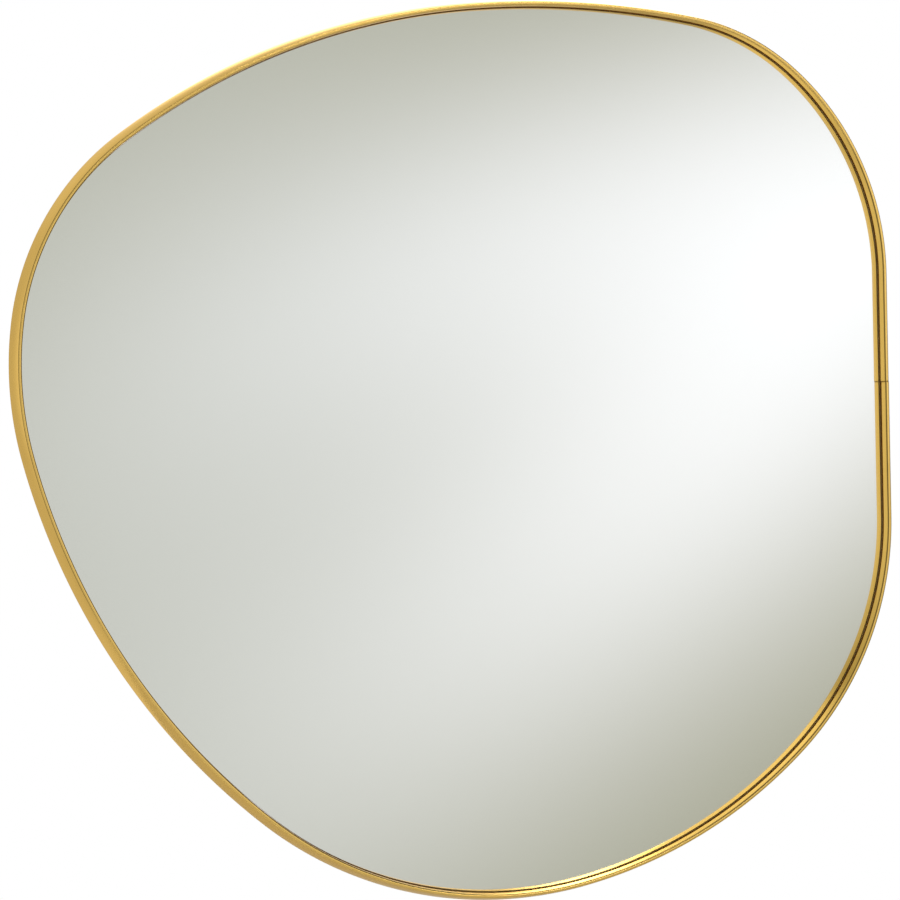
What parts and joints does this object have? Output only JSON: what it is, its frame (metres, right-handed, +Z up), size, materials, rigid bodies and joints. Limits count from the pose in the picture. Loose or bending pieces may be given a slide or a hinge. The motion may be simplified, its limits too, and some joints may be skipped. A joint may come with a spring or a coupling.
{
  "type": "irregular wall mirror",
  "caption": "Pebble-shaped wall mirror in a thin brass-coloured frame whose outer side slopes out to the wall, with the glass set back from its front edge and hinged rings behind for hanging.",
  "frame": {"origin": "on the wall plane, behind the middle of the frame's width and height", "axes": "+X to the viewer's right, +Y into the wall, +Z up; the mirror faces -Y"},
  "size_m": [0.801, 0.025, 0.7996],
  "materials": {
    "frame": "fine brushed satin",
    "mirror": "polished, silvered behind",
    "board": "raw fibreboard",
    "tape": "closed-cell foam",
    "hardware": "bright zinc"
  },
  "bodies": {
    "mirror": {"frame_bar": "frame", "mirror_glass": "mirror", "backing_board": "board", "foam_tape_1": "tape", "foam_tape_2": "tape", "foam_tape_3": "tape", "foam_tape_4": "tape", "foam_tape_5": "tape", "frame_tab_1": "frame", "frame_tab_2": "frame", "frame_tab_3": "frame", "frame_tab_4": "frame", "frame_tab_5": "frame", "frame_tab_6": "frame", "frame_tab_7": "frame", "frame_tab_8": "frame", "tab_screw_1": "hardware", "tab_screw_2": "hardware", "tab_screw_3": "hardware", "tab_screw_4": "hardware", "tab_screw_5": "hardware", "tab_screw_6": "hardware", "tab_screw_7": "hardware", "tab_screw_8": "hardware", "hanger_strap_left": "hardware", "hanger_strap_right": "hardware", "hanger_screw_left_1": "hardware", "hanger_screw_left_2": "hardware", "hanger_screw_right_1": "hardware", "hanger_screw_right_2": "hardware"},
    "ring_left": {"hanger_ring_left": "hardware"},
    "ring_right": {"hanger_ring_right": "hardware"}
  },
  "joints": [
    {"name": "ring_left_swing", "type": "hinge", "parent": "mirror", "child": "ring_left", "pos_m": [-0.2, -0.0034, 0.215], "axis": [1, 0, 0], "range_deg": [0, 175]},
    {"name": "ring_right_swing", "type": "hinge", "parent": "mirror", "child": "ring_right", "pos_m": [0.2, -0.0034, 0.215], "axis": [1, 0, 0], "range_deg": [0, 175]}
  ]
}
